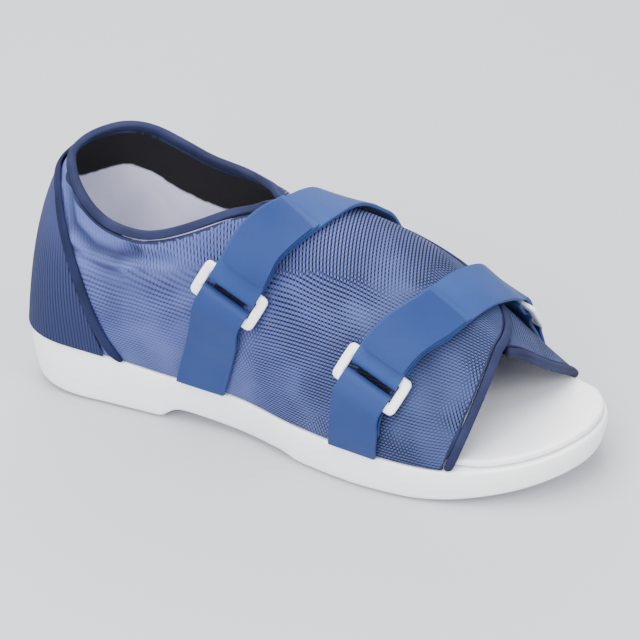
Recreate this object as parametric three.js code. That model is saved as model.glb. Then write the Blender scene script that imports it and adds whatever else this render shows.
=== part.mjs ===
import * as THREE from 'three';
import { mergeVertices } from 'three/addons/utils/BufferGeometryUtils.js';

// Main sizes of the shoe, in millimetres
const LENGTH = 286;
const BALL_WIDTH = 107.2;
const SOLE_HEIGHT = 30;
const INSTEP_HEIGHT = 112;
const COLLAR_HEIGHT = 119.6;

// Origin: the middle of the heel's flat spot lies this far in front of the heel's back
const HEEL_SPOT = 58;

// Clearances and wall thicknesses
const GAP = 0.3;
const WALL = 2.2;
const FLAP_STEP = 2.6;
const FOOT_INSET = 0.6;
const BED_CLEAR = 1;
const LAP_CLEAR = 0.5;
const EDGE_CLEAR = 0.55;

// Round ends of the sole's outline
const HEEL_ROUND = 36;
const TOE_ROUND = 58;
const TOE_SQUARENESS = 2.07;

// Half widths of the sole, as shares of the ball width, against shares of the length
const OUTLINE = [
  { at: 0.00, near: 0.324, far: 0.326 },
  { at: 0.14, near: 0.308, far: 0.328 },
  { at: 0.28, near: 0.320, far: 0.322 },
  { at: 0.42, near: 0.325, far: 0.334 },
  { at: 0.55, near: 0.436, far: 0.404 },
  { at: 0.66, near: 0.500, far: 0.470 },
  { at: 0.76, near: 0.504, far: 0.496 },
  { at: 0.86, near: 0.455, far: 0.494 },
  { at: 0.93, near: 0.432, far: 0.462 },
  { at: 1.00, near: 0.406, far: 0.405 },
];

// Height of the sole's top line, as shares of the sole height
const TOP_LINE = [
  { at: 0.00, z: 0.983 },
  { at: 0.10, z: 0.993 },
  { at: 0.20, z: 0.933 },
  { at: 0.30, z: 0.847 },
  { at: 0.40, z: 0.755 },
  { at: 0.50, z: 0.710 },
  { at: 0.60, z: 0.700 },
  { at: 0.70, z: 0.660 },
  { at: 0.78, z: 0.628 },
  { at: 0.86, z: 0.648 },
  { at: 0.93, z: 0.740 },
  { at: 1.00, z: 0.900 },
];

// Underside between heel and ball: height against shares of the length
const ARCH = [
  { at: 0.000, z: 0.0 },
  { at: 0.282, z: 0.0 },
  { at: 0.306, z: 6.6 },
  { at: 0.358, z: 4.4 },
  { at: 0.408, z: 2.6 },
  { at: 0.454, z: 2.1 },
  { at: 0.510, z: 2.1 },
  { at: 0.530, z: 0.7 },
  { at: 0.546, z: 0.0 },
  { at: 1.000, z: 0.0 },
];
const HEEL_LIFT = 3.4;
const HEEL_LIFT_LENGTH = 40;
const HEEL_LIFT_POWER = 1.2;
const TOE_SPRING = 12.6;
const TOE_SPRING_START = 212;
const TOE_SPRING_POWER = 1.7;

// The skin of the upper is followed by two numbers: the foot of a line on the sole's
// outline, measured from the heel's back, and the way along that line, which is 0 at the
// near side's foot, 1 on the ridge or the collar and 2 at the far side's foot.
const THROAT = 0.448;
const THROAT_HALF = 7;
const THROAT_FRONT = 6.2;
const THROAT_EASE_SHARE = 0.012;
const HEEL_CENTRE_SHARE = 0.157;
const SKIN_STEP = 0.003;

// Finished edge of the collar, from the near side of the throat round the heel to the far
// side; foot and x are shares of the length, y of the ball width, z of the collar height
const COLLAR = [
  { foot: -0.448, x: 0.448, y: 0.009, z: 0.911 },
  { foot: -0.446, x: 0.449, y: -0.032, z: 0.911 },
  { foot: -0.440, x: 0.447, y: -0.065, z: 0.912 },
  { foot: -0.425, x: 0.434, y: -0.108, z: 0.917 },
  { foot: -0.398, x: 0.409, y: -0.160, z: 0.920 },
  { foot: -0.345, x: 0.357, y: -0.268, z: 0.884 },
  { foot: -0.280, x: 0.290, y: -0.323, z: 0.833 },
  { foot: -0.210, x: 0.227, y: -0.322, z: 0.834 },
  { foot: -0.126, x: 0.171, y: -0.287, z: 0.880 },
  { foot: -0.070, x: 0.136, y: -0.231, z: 0.941 },
  { foot: -0.028, x: 0.112, y: -0.147, z: 0.986 },
  { foot: -0.007, x: 0.100, y: -0.075, z: 0.998 },
  { foot: 0.000, x: 0.097, y: 0.000, z: 1.000 },
  { foot: 0.007, x: 0.100, y: 0.075, z: 1.003 },
  { foot: 0.028, x: 0.114, y: 0.149, z: 1.008 },
  { foot: 0.070, x: 0.140, y: 0.224, z: 1.010 },
  { foot: 0.126, x: 0.175, y: 0.269, z: 0.997 },
  { foot: 0.210, x: 0.227, y: 0.293, z: 0.947 },
  { foot: 0.280, x: 0.283, y: 0.289, z: 0.901 },
  { foot: 0.345, x: 0.350, y: 0.229, z: 0.900 },
  { foot: 0.398, x: 0.400, y: 0.149, z: 0.912 },
  { foot: 0.425, x: 0.427, y: 0.103, z: 0.914 },
  { foot: 0.440, x: 0.442, y: 0.062, z: 0.912 },
  { foot: 0.446, x: 0.447, y: 0.034, z: 0.911 },
  { foot: 0.448, x: 0.448, y: 0.009, z: 0.911 },
];

// Ridge of the instep in front of the throat, z as shares of the instep height
const RIDGE = [
  { at: 0.448, y: 0.009, z: 0.973 },
  { at: 0.524, y: 0.047, z: 0.931 },
  { at: 0.580, y: 0.071, z: 0.892 },
  { at: 0.629, y: 0.076, z: 0.845 },
  { at: 0.692, y: 0.065, z: 0.773 },
  { at: 0.727, y: 0.056, z: 0.730 },
  { at: 0.769, y: 0.037, z: 0.675 },
  { at: 0.804, y: 0.019, z: 0.627 },
  { at: 0.843, y: 0.000, z: 0.561 },
  { at: 0.902, y: 0.000, z: 0.420 },
];

// How each line of the skin leaves the sole and meets its edge, for the near side and then
// the far one: out is its slope outwards at the foot, rise the length of that start, lean
// the angle inwards at the edge in degrees, reach the length of that end
const NEAR_WALLS = [
  { at: 0.000, out: -0.12, rise: 0.34, lean: 38, reach: 0.233 },
  { at: 0.028, out: -0.08, rise: 0.34, lean: 36, reach: 0.224 },
  { at: 0.070, out: 0.00, rise: 0.36, lean: 28, reach: 0.205 },
  { at: 0.126, out: 0.08, rise: 0.38, lean: 18, reach: 0.205 },
  { at: 0.210, out: 0.12, rise: 0.42, lean: 12, reach: 0.205 },
  { at: 0.280, out: 0.16, rise: 0.42, lean: 16, reach: 0.205 },
  { at: 0.350, out: 0.20, rise: 0.42, lean: 27, reach: 0.233 },
  { at: 0.392, out: 0.18, rise: 0.46, lean: 50, reach: 0.260 },
  { at: 0.424, out: 0.14, rise: 0.50, lean: 72, reach: 0.268 },
  { at: 0.448, out: 0.11, rise: 0.53, lean: 88, reach: 0.270 },
  { at: 0.577, out: 0.05, rise: 0.60, lean: 90, reach: 0.315 },
  { at: 0.700, out: 0.03, rise: 0.60, lean: 92, reach: 0.325 },
  { at: 0.787, out: 0.02, rise: 0.58, lean: 98, reach: 0.280 },
  { at: 0.843, out: 0.00, rise: 0.55, lean: 108, reach: 0.243 },
  { at: 0.902, out: 0.00, rise: 0.50, lean: 115, reach: 0.205 },
];
const FAR_WALLS = [
  { at: 0.000, out: -0.12, rise: 0.34, lean: 38, reach: 0.233 },
  { at: 0.028, out: -0.08, rise: 0.34, lean: 36, reach: 0.224 },
  { at: 0.070, out: 0.00, rise: 0.36, lean: 27, reach: 0.215 },
  { at: 0.126, out: 0.06, rise: 0.40, lean: 16, reach: 0.233 },
  { at: 0.210, out: 0.08, rise: 0.42, lean: 10, reach: 0.233 },
  { at: 0.280, out: 0.10, rise: 0.42, lean: 14, reach: 0.233 },
  { at: 0.350, out: 0.12, rise: 0.42, lean: 30, reach: 0.205 },
  { at: 0.392, out: 0.12, rise: 0.46, lean: 51, reach: 0.195 },
  { at: 0.424, out: 0.10, rise: 0.50, lean: 76, reach: 0.178 },
  { at: 0.448, out: 0.10, rise: 0.53, lean: 92, reach: 0.175 },
  { at: 0.577, out: 0.05, rise: 0.60, lean: 90, reach: 0.220 },
  { at: 0.700, out: 0.03, rise: 0.58, lean: 88, reach: 0.245 },
  { at: 0.787, out: 0.02, rise: 0.50, lean: 82, reach: 0.220 },
  { at: 0.843, out: 0.00, rise: 0.40, lean: 72, reach: 0.187 },
  { at: 0.902, out: 0.00, rise: 0.35, lean: 65, reach: 0.149 },
];

// Columns of the upper's near half, from the toe opening to the heel: foot on the sole,
// then foot and way of the skin line where the column ends
const NEAR_COLUMNS = [
  { column: 0.00, foot: 0.802, top: 0.836, way: 0.760 },
  { column: 0.04, foot: 0.784, top: 0.836, way: 0.870 },
  { column: 0.09, foot: 0.761, top: 0.829, way: 0.980 },
  { column: 0.14, foot: 0.735, top: 0.815, way: 1.080 },
  { column: 0.20, foot: 0.699, top: 0.788, way: 1.180 },
  { column: 0.27, foot: 0.652, top: 0.733, way: 1.280 },
  { column: 0.34, foot: 0.598, top: 0.660, way: 1.330 },
  { column: 0.41, foot: 0.547, top: 0.585, way: 1.310 },
  { column: 0.46, foot: 0.505, top: 0.522, way: 1.200 },
  { column: 0.50, foot: 0.470, top: 0.470, way: 1.000 },
];
const FAR_COLUMNS = [
  { column: 0.00, foot: 0.889 },
  { column: 0.04, foot: 0.866 },
  { column: 0.09, foot: 0.841 },
  { column: 0.14, foot: 0.817 },
  { column: 0.20, foot: 0.783 },
  { column: 0.27, foot: 0.730 },
  { column: 0.34, foot: 0.665 },
  { column: 0.41, foot: 0.592 },
  { column: 0.46, foot: 0.537 },
  { column: 0.50, foot: 0.476 },
];

// Numbers of columns and rows in the skin's grid, and how columns crowd towards a corner
const SEAM_COLUMNS = 20;
const COLLAR_COLUMNS = 24;
const SKIN_ROWS = 12;
const SEAM_CROWDING = 1.15;
const COLLAR_CROWDING = 1.6;

// Bow of the front columns, as shares of the length, so that the toe opening's edges
// curve forwards
const NEAR_BOW_SHARE = 0.013;
const FAR_BOW_SHARE = 0.027;
const BOW_FADE = 0.35;

// The near flap's step over the far one: it grows between two shares of a column, over
// the first part of the seam, and its tape lies on the far flap past two more
const STEP_START = 0.35;
const STEP_FULL = 0.85;
const STEP_SEAM = 0.1;
const LAP_START = 0.6;
const LAP_FULL = 0.86;

// Edge tapes: their height past the edge, and how far they stand out from the wall
const TAPE_HEIGHT = 4.4;
const TAPE_PROUD = 0.8;

// Straps, their fastening pads and the rings they pass through
const STRAP_WIDTH = 24.2;
const STRAP_THICK = 1.8;
const PAD_WIDTH = 22.6;
const PAD_ASIDE = 0.8;
const PAD_THICK = 3.6;
const PAD_THIN = 1;
const RING_LENGTH = 34;
const RING_HEIGHT = 18.6;
const RING_END = 4.6;
const RING_BAR = 4.9;
const RING_THICK = 2.6;
const RING_CORNER = 3;
const RING_HOLE_CORNER = 0.9;
const RING_SOFT = 0.7;

// Each closure's middle line over the skin, near foot to far foot
const REAR_LINE = [
  { foot: 0.362, way: 0.000 },
  { foot: 0.392, way: 0.250 },
  { foot: 0.423, way: 0.490 },
  { foot: 0.442, way: 0.600 },
  { foot: 0.467, way: 0.700 },
  { foot: 0.490, way: 0.800 },
  { foot: 0.507, way: 0.920 },
  { foot: 0.519, way: 1.050 },
  { foot: 0.532, way: 1.220 },
  { foot: 0.560, way: 1.550 },
  { foot: 0.578, way: 1.780 },
  { foot: 0.590, way: 2.000 },
];
const FRONT_LINE = [
  { foot: 0.656, way: 0.000 },
  { foot: 0.668, way: 0.170 },
  { foot: 0.684, way: 0.330 },
  { foot: 0.712, way: 0.520 },
  { foot: 0.746, way: 0.720 },
  { foot: 0.764, way: 0.920 },
  { foot: 0.772, way: 1.120 },
  { foot: 0.775, way: 1.320 },
  { foot: 0.778, way: 1.570 },
  { foot: 0.784, way: 1.780 },
  { foot: 0.792, way: 2.000 },
];

// Height of each strap's middle over the lapped wall, and the degrees by which its front
// edge is lifted, against the way of its line
const REAR_ARCH = [
  { at: 0.49, height: 1.5, tilt: 0 },
  { at: 0.62, height: 1.6, tilt: 0 },
  { at: 0.80, height: 1.7, tilt: 1 },
  { at: 1.00, height: 1.8, tilt: 2 },
  { at: 1.20, height: 2.4, tilt: 0 },
  { at: 1.36, height: 2.8, tilt: 0 },
  { at: 1.46, height: 4.2, tilt: 0 },
  { at: 1.60, height: 6.5, tilt: 0 },
];
const FRONT_ARCH = [
  { at: 0.33, height: 1.5, tilt: 0 },
  { at: 0.46, height: 1.6, tilt: 0 },
  { at: 0.66, height: 1.9, tilt: 2 },
  { at: 0.90, height: 1.7, tilt: 2 },
  { at: 1.12, height: 2.6, tilt: 2 },
  { at: 1.30, height: 4.6, tilt: 1 },
  { at: 1.44, height: 6.2, tilt: 1 },
  { at: 1.60, height: 6.8, tilt: 0 },
];
const CLOSURES = [
  {
    name: 'rear',
    line: REAR_LINE,
    arch: REAR_ARCH,
    nearRing: 0.49,
    nearTurn: -6,
    farRing: 1.60,
    padLow: 0.60,
    padHigh: 0.84,
  },
  {
    name: 'front',
    line: FRONT_LINE,
    arch: FRONT_ARCH,
    nearRing: 0.33,
    nearTurn: -3,
    farRing: 1.60,
    padLow: 0.44,
    padHigh: 0.78,
  },
];

// Heights over the wall in a closure: under layer, ring, layer over the ring
const LAYER_LOW = 1.5;
const RING_LOW = 2.7;
const FAR_RING_LIFT = 0.4;
const LAYER_HIGH = RING_LOW + RING_THICK + GAP + STRAP_THICK / 2;
const FOLD_INSET = 0.35;
const FOLD_LEAD = 1;
const FOLD_DIP = 0.4;
const ANCHOR_RETURN = 13;
const ANCHOR_SETTLE = 10;
const HEM_EASE = 13;
const FAR_RETURN = 6;
const FAR_JOIN = 16;
const BACK_START = 1;
const PAD_HEM = 3;
const RING_HOLD = 1;
const ANCHOR_EASE = 14;
const STRAP_EASE = 24;
const FAR_EASE = 8;
const LAP_HOLD = 0.03;
const LAP_FADE = 0.10;
const SEWN_CLEAR = 0.5;
const ANCHOR_STEPS = 9;
const SPAN_STEPS = 22;
const BACK_STEPS = 10;
const PAD_STEPS = 7;
const FRAME_STEPS = 60;

// Top line of the heel's counter: way of the skin over the foot share
const COUNTER = [
  { at: -0.214, way: 0.000 },
  { at: -0.189, way: 0.087 },
  { at: -0.170, way: 0.212 },
  { at: -0.148, way: 0.388 },
  { at: -0.120, way: 0.563 },
  { at: -0.095, way: 0.675 },
  { at: -0.071, way: 0.762 },
  { at: -0.051, way: 0.828 },
  { at: -0.027, way: 0.866 },
  { at: 0.000, way: 0.878 },
  { at: 0.027, way: 0.866 },
  { at: 0.051, way: 0.828 },
  { at: 0.071, way: 0.762 },
  { at: 0.095, way: 0.675 },
  { at: 0.120, way: 0.563 },
  { at: 0.148, way: 0.388 },
  { at: 0.170, way: 0.212 },
  { at: 0.189, way: 0.087 },
  { at: 0.214, way: 0.000 },
];
const COUNTER_THICK = 1.1;
const BAND_THICK = 1.8;
const BAND_HALF = 2.6;
const COUNTER_END_SHARE = 0.183;
const COUNTER_SAG = 0.4;
const COUNTER_COLUMNS = 16;
const COUNTER_ROWS = 6;
const BAND_STEPS = 26;

// Footbed
const FOOTBED_HEIGHT = 3.8;
const FOOTBED_INSET = 1.9;
const FOOTBED_EDGE = 0.8;
const FOOTBED_ROUND = 1.3;
const FOOTBED_DISH = 0.7;
const FOOTBED_RIM = 7;
const FOOTBED_FLARE = 7;

const clamp = (value, low, high) => Math.min(Math.max(value, low), high);
const mix = (a, b, share) => a + (b - a) * share;
const smooth = (low, high, value) => {
  const t = clamp((value - low) / (high - low), 0, 1);
  return t * t * (3 - 2 * t);
};

// A smooth curve through one column of a table
function curve(rows, column, position = (row) => row.at) {
  const x = rows.map(position);
  const y = rows.map((row) => row[column]);
  const last = rows.length - 1;
  const rise = (i) => (y[i + 1] - y[i]) / (x[i + 1] - x[i]);
  const slopes = y.map((_, i) => {
    if (i === 0) return rise(0);
    if (i === last) return rise(last - 1);
    const before = x[i] - x[i - 1];
    const after = x[i + 1] - x[i];
    return (rise(i - 1) * after + rise(i) * before) / (before + after);
  });
  return (value) => {
    const v = clamp(value, x[0], x[last]);
    let i = 0;
    while (i < last - 1 && v > x[i + 1]) i += 1;
    const h = x[i + 1] - x[i];
    const t = (v - x[i]) / h;
    const s = 1 - t;
    return y[i] * s * s * (1 + 2 * t) + slopes[i] * h * t * s * s
      + y[i + 1] * t * t * (3 - 2 * t) - slopes[i + 1] * h * t * t * s;
  };
}

// Straight lines through one column of a table
function steps(rows, column) {
  return (value) => {
    let i = 0;
    while (i < rows.length - 2 && value > rows[i + 1].at) i += 1;
    const share = (value - rows[i].at) / (rows[i + 1].at - rows[i].at);
    return mix(rows[i][column], rows[i + 1][column], clamp(share, 0, 1));
  };
}

// The walk goes round the sole: -1 at the toe along the near side, 0 at the heel's back,
// 1 at the toe again along the far side. A foot share is its distance from the heel's back.
const walkOf = (share) => Math.sign(share) * Math.asin(Math.sqrt(Math.abs(share))) * 2 / Math.PI;
const shareOf = (walk) => Math.sin(Math.PI * Math.abs(walk) / 2) ** 2;

const widths = { near: curve(OUTLINE, 'near'), far: curve(OUTLINE, 'far') };
const topShare = curve(TOP_LINE, 'z');
const archHeight = steps(ARCH, 'z');

function roundEnds(x) {
  if (x < HEEL_ROUND) return Math.sqrt(Math.max(1 - ((HEEL_ROUND - x) / HEEL_ROUND) ** 2, 0));
  const start = LENGTH - TOE_ROUND;
  if (x < start) return 1;
  const share = clamp((x - start) / TOE_ROUND, 0, 1);
  return (1 - share ** TOE_SQUARENESS) ** (1 / TOE_SQUARENESS);
}

function outlinePoint(walk) {
  const turned = walk > 1 ? walk - 2 : walk < -1 ? walk + 2 : walk;
  const share = shareOf(turned);
  const half = (turned < 0 ? widths.near : widths.far)(share) * BALL_WIDTH;
  return [share * LENGTH, Math.sign(turned) * half * roundEnds(share * LENGTH)];
}

// Outline moved inwards by an inset
function outline(walk, inset) {
  const step = 0.004;
  const [x, y] = outlinePoint(walk);
  const [ax, ay] = outlinePoint(walk - step);
  const [bx, by] = outlinePoint(walk + step);
  const length = Math.hypot(bx - ax, by - ay);
  return [x + inset * (by - ay) / length, y - inset * (bx - ax) / length];
}

const topLine = (x) => topShare(x / LENGTH) * SOLE_HEIGHT;

function bottomLine(x) {
  const heel = HEEL_LIFT * clamp(1 - x / HEEL_LIFT_LENGTH, 0, 1) ** HEEL_LIFT_POWER;
  const spring = clamp((x - TOE_SPRING_START) / (LENGTH - TOE_SPRING_START), 0, 1);
  return heel + archHeight(x / LENGTH) + TOE_SPRING * spring ** TOE_SPRING_POWER;
}

const colours = {
  sole: [0xf4f5f8, 0.62],
  footbed: [0xe9eaf2, 0.7],
  mesh: [0x6f7cb4, 0.85],
  counter: [0x666f9f, 0.85],
  tape: [0x46527f, 0.7],
  strap: [0x4a72ae, 0.6],
  ring: [0xf3f4f7, 0.35],
};

const shoe = new THREE.Group();
shoe.name = 'post_operative_shoe';

// A solid from a list of corner points and a list of faces, each a loop of points
function solid(name, colour, faces) {
  const corners = [];
  for (const face of faces) {
    for (let i = 1; i < face.length - 1; i += 1) corners.push(face[0], face[i], face[i + 1]);
  }
  const raw = new THREE.BufferGeometry();
  const numbers = corners.flatMap((p) => [p.x - HEEL_SPOT, p.y, p.z]);
  raw.setAttribute('position', new THREE.Float32BufferAttribute(numbers, 3));
  const merged = mergeVertices(raw, 1e-3);
  const place = merged.attributes.position;
  const index = [];
  let volume = 0;
  const [a, b, c] = [new THREE.Vector3(), new THREE.Vector3(), new THREE.Vector3()];
  for (let i = 0; i < merged.index.count; i += 3) {
    const [i0, i1, i2] = [0, 1, 2].map((k) => merged.index.getX(i + k));
    if (i0 === i1 || i1 === i2 || i2 === i0) continue;
    index.push(i0, i1, i2);
    a.fromBufferAttribute(place, i0);
    b.fromBufferAttribute(place, i1);
    c.fromBufferAttribute(place, i2);
    volume += a.dot(b.cross(c));
  }
  if (volume < 0) index.reverse();
  merged.setIndex(index);
  merged.computeVertexNormals();
  const [tint, roughness] = colours[colour];
  const material = new THREE.MeshStandardMaterial({ color: tint, roughness, metalness: 0 });
  const mesh = new THREE.Mesh(merged, material);
  mesh.name = name;
  shoe.add(mesh);
}

// Faces between two closed loops of points
function band(lower, upper) {
  return lower.map((point, i) => {
    const next = (i + 1) % lower.length;
    return [point, lower[next], upper[next], upper[i]];
  });
}

// Faces of a body that follows a list of sections, closed on itself or capped
function sweep(sections, closed) {
  const faces = [];
  const count = closed ? sections.length : sections.length - 1;
  for (let i = 0; i < count; i += 1) {
    faces.push(...band(sections[i], sections[(i + 1) % sections.length]));
  }
  if (!closed) faces.push(...cap([...sections[0]].reverse()), ...cap(sections[count]));
  return faces;
}

// Faces that close a ring of an even count of points, in strips between its two halves
function cap(ring) {
  const last = ring.length - 1;
  return Array.from({ length: ring.length / 2 - 1 }, (_, i) => (
    [ring[i], ring[i + 1], ring[last - i - 1], ring[last - i]]));
}

// Faces of a sheet between an outer and an inner grid of points with the same counts
function sheet(outer, inner) {
  const faces = [];
  const columns = outer.length - 1;
  const rows = outer[0].length - 1;
  for (let k = 0; k < columns; k += 1) {
    for (let j = 0; j < rows; j += 1) {
      faces.push([outer[k][j], outer[k][j + 1], outer[k + 1][j + 1], outer[k + 1][j]]);
      faces.push([inner[k][j], inner[k + 1][j], inner[k + 1][j + 1], inner[k][j + 1]]);
    }
    faces.push([outer[k][0], outer[k + 1][0], inner[k + 1][0], inner[k][0]]);
    faces.push([outer[k + 1][rows], outer[k][rows], inner[k][rows], inner[k + 1][rows]]);
  }
  for (let j = 0; j < rows; j += 1) {
    faces.push([outer[0][j + 1], outer[0][j], inner[0][j], inner[0][j + 1]]);
    faces.push([outer[columns][j], outer[columns][j + 1], inner[columns][j + 1], inner[columns][j]]);
  }
  return faces;
}

// A flat-topped body over the sole's outline: rings of equal stations stacked upwards,
// closed below and above by faces from side to side
function stack(rings) {
  const faces = [];
  for (let i = 0; i < rings.length - 1; i += 1) faces.push(...band(rings[i], rings[i + 1]));
  const lid = (ring) => {
    const count = ring.length;
    const across = [];
    for (let i = 0; i < count / 2; i += 1) {
      across.push([ring[i], ring[(count - i) % count], ring[(count - i - 1) % count], ring[i + 1]]);
    }
    return across;
  };
  faces.push(...lid(rings[0]));
  faces.push(...lid(rings[rings.length - 1]).map((face) => [...face].reverse()));
  return faces;
}

// Stations of the sole: even steps of the walk, and the breaks of the underside
const SOLE_STATIONS = 40;
function stations(breaks) {
  const shares = Array.from({ length: SOLE_STATIONS + 1 }, (_, i) => shareOf(i / SOLE_STATIONS));
  const kept = shares.filter((share) => breaks.every((at) => Math.abs(at - share) > 0.004));
  const half = [...kept, ...breaks].sort((p, q) => p - q);
  const near = half.map((share) => -walkOf(share));
  const far = half.slice(1, -1).reverse().map((share) => walkOf(share));
  return [...near, ...far];
}

const point = (x, y, z) => new THREE.Vector3(x, y, z);

// Outsole: inset, share of the height and lift of each ring of its side
const soleSide = [
  { inset: 3.4, share: 0.00, lift: 0.0 },
  { inset: 2.3, share: 0.00, lift: 1.1 },
  { inset: 0.6, share: 0.50, lift: 0.0 },
  { inset: 0.0, share: 0.82, lift: 0.0 },
  { inset: 0.2, share: 1.00, lift: -0.6 },
  { inset: 0.9, share: 1.00, lift: 0.0 },
];
const breaks = ARCH.slice(1, -1).map((row) => row.at)
  .concat(HEEL_LIFT_LENGTH / LENGTH, TOE_SPRING_START / LENGTH);
const soleWalks = stations(breaks);
const soleRings = soleSide.map((row) => soleWalks.map((walk) => {
  const [x, y] = outline(walk, row.inset);
  const level = shareOf(walk) * LENGTH;
  return point(x, y, mix(bottomLine(level), topLine(level), row.share) + row.lift);
}));
solid('outsole', 'sole', stack(soleRings));

// Skin of the upper
const ridge = { y: curve(RIDGE, 'y'), z: curve(RIDGE, 'z') };
const collarWalk = (row) => walkOf(row.foot);
const collar = {
  x: curve(COLLAR, 'x', collarWalk),
  y: curve(COLLAR, 'y', collarWalk),
  z: curve(COLLAR, 'z', collarWalk),
};
const wallWalk = (row) => walkOf(row.at);
const wallColumns = (rows) => Object.fromEntries(['out', 'rise', 'lean', 'reach']
  .map((column) => [column, curve(rows, column, wallWalk)]));
const walls = { near: wallColumns(NEAR_WALLS), far: wallColumns(FAR_WALLS) };

// A point of one side's skin: walk says where the line starts, up is 0 at its foot and 1
// at its edge
function wallPoint(walk, up) {
  const share = shareOf(walk);
  const side = walls[walk < 0 ? 'near' : 'far'];
  const [fx, fy] = outline(walk, FOOT_INSET);
  const foot = point(fx, fy, topLine(share * LENGTH) + GAP);
  const edge = share < THROAT
    ? point(collar.x(walk) * LENGTH, collar.y(walk) * BALL_WIDTH, collar.z(walk) * COLLAR_HEIGHT)
    : point(share * LENGTH, ridge.y(share) * BALL_WIDTH, ridge.z(share) * INSTEP_HEIGHT);
  const way = Math.abs(walk);
  const middle = Math.max(share, HEEL_CENTRE_SHARE) * LENGTH;
  const inwards = share < HEEL_CENTRE_SHARE
    ? point(middle - fx, -fy, 0).normalize()
    : point(0, walk < 0 ? 1 : -1, 0);
  const height = edge.z - foot.z;
  const first = foot.clone()
    .addScaledVector(inwards, -side.out(way) * side.rise(way) * height)
    .add(point(0, 0, side.rise(way) * height));
  const lean = side.lean(way) * Math.PI / 180;
  const reach = side.reach(way) * BALL_WIDTH;
  const second = edge.clone()
    .addScaledVector(inwards, -Math.sin(lean) * reach)
    .add(point(0, 0, -Math.cos(lean) * reach));
  const t = up;
  const s = 1 - t;
  return point(0, 0, 0)
    .addScaledVector(foot, s * s * s)
    .addScaledVector(first, 3 * s * s * t)
    .addScaledVector(second, 3 * s * t * t)
    .addScaledVector(edge, t * t * t);
}

// Skin point and outward normal from a foot share (0 to 1) and a way (0 to 2)
function skin(walk, way) {
  const side = way <= 1 ? -1 : 1;
  const up = way <= 1 ? way : 2 - way;
  const along = Math.abs(walk) * side;
  const at = wallPoint(along, up);
  const ahead = wallPoint(Math.min(along + SKIN_STEP, 1), up);
  const behind = wallPoint(Math.max(along - SKIN_STEP, -1), up);
  const above = wallPoint(along, Math.min(up + SKIN_STEP, 1));
  const below = wallPoint(along, Math.max(up - SKIN_STEP, 0));
  const normal = above.sub(below).cross(ahead.sub(behind)).normalize();
  normal.z *= smooth(0, 0.12, up);
  normal.normalize();
  return { at, normal };
}

// Point at a height over the skin
function over(walk, way, height) {
  const { at, normal } = skin(walk, way);
  return at.addScaledVector(normal, height);
}

// Length of a skin line from foot to edge
function lineLength(walk) {
  let length = 0;
  for (let i = 0; i < 8; i += 1) {
    length += wallPoint(walk, i / 8).distanceTo(wallPoint(walk, (i + 1) / 8));
  }
  return length;
}

// Footbed: fills the inside of the upper and widens to a rounded rim at the open toe, in
// front of the tapes of the two flaps
const bedWalks = stations([]);
const bedOpen = (walk) => {
  const flap = walk < 0 ? NEAR_COLUMNS[0].foot + NEAR_BOW_SHARE : FAR_COLUMNS[0].foot + FAR_BOW_SHARE;
  const start = flap * LENGTH + TAPE_HEIGHT + 2 * GAP;
  return smooth(start, start + FOOTBED_FLARE, shareOf(walk) * LENGTH);
};
// How far the wall has come inwards at the footbed's top
const wallLean = (walk) => {
  const foot = wallPoint(walk, 0);
  let up = 0;
  while (wallPoint(walk, up).z < foot.z + FOOTBED_HEIGHT) up += 0.01;
  const [ax, ay] = outline(walk, 0);
  const [bx, by] = outline(walk, 1);
  const top = wallPoint(walk, up);
  return Math.max((top.x - foot.x) * (bx - ax) + (top.y - foot.y) * (by - ay), 0);
};
const bedInset = bedWalks.map((walk) => {
  const inside = FOOT_INSET + WALL + TAPE_PROUD + BED_CLEAR + wallLean(walk);
  return mix(inside, FOOTBED_INSET, bedOpen(walk));
});
const bedRing = (extra, height, lift) => bedWalks.map((walk, i) => {
  const [x, y] = outline(walk, bedInset[i] + extra);
  return point(x, y, topLine(shareOf(walk) * LENGTH) + GAP + height * FOOTBED_HEIGHT + lift);
});
solid('footbed', 'footbed', stack([
  bedRing(FOOTBED_EDGE, 0, 0),
  bedRing(0, 0, FOOTBED_EDGE),
  bedRing(0, 1, -FOOTBED_ROUND),
  bedRing(FOOTBED_ROUND / 3, 1, -FOOTBED_ROUND / 3),
  bedRing(FOOTBED_ROUND, 1, 0),
  bedRing(FOOTBED_RIM, 1, -FOOTBED_DISH),
]));

// Ends of the skin's columns: seam columns from the toe opening to the throat, then
// collar columns to the heel's back
const TRIM = TAPE_HEIGHT + GAP;
const throatTrim = THROAT + THROAT_FRONT / LENGTH;
const columnPlace = (row) => row.column;
const seamTable = {
  nearFoot: curve(NEAR_COLUMNS, 'foot', columnPlace),
  farFoot: curve(FAR_COLUMNS, 'foot', columnPlace),
  top: curve(NEAR_COLUMNS, 'top', columnPlace),
  way: curve(NEAR_COLUMNS, 'way', columnPlace),
};

// Way of the collar's trimmed edge at a foot share, rounded in front of the throat
function collarWay(share, side) {
  if (share >= throatTrim) return 1;
  const length = lineLength(side * walkOf(share));
  const round = clamp((share - THROAT) / (throatTrim - THROAT), 0, 1);
  const across = mix(TRIM, THROAT_HALF, smooth(THROAT - THROAT_EASE_SHARE, THROAT, share));
  return 1 - across * Math.sqrt(1 - round * round) / length;
}

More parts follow.
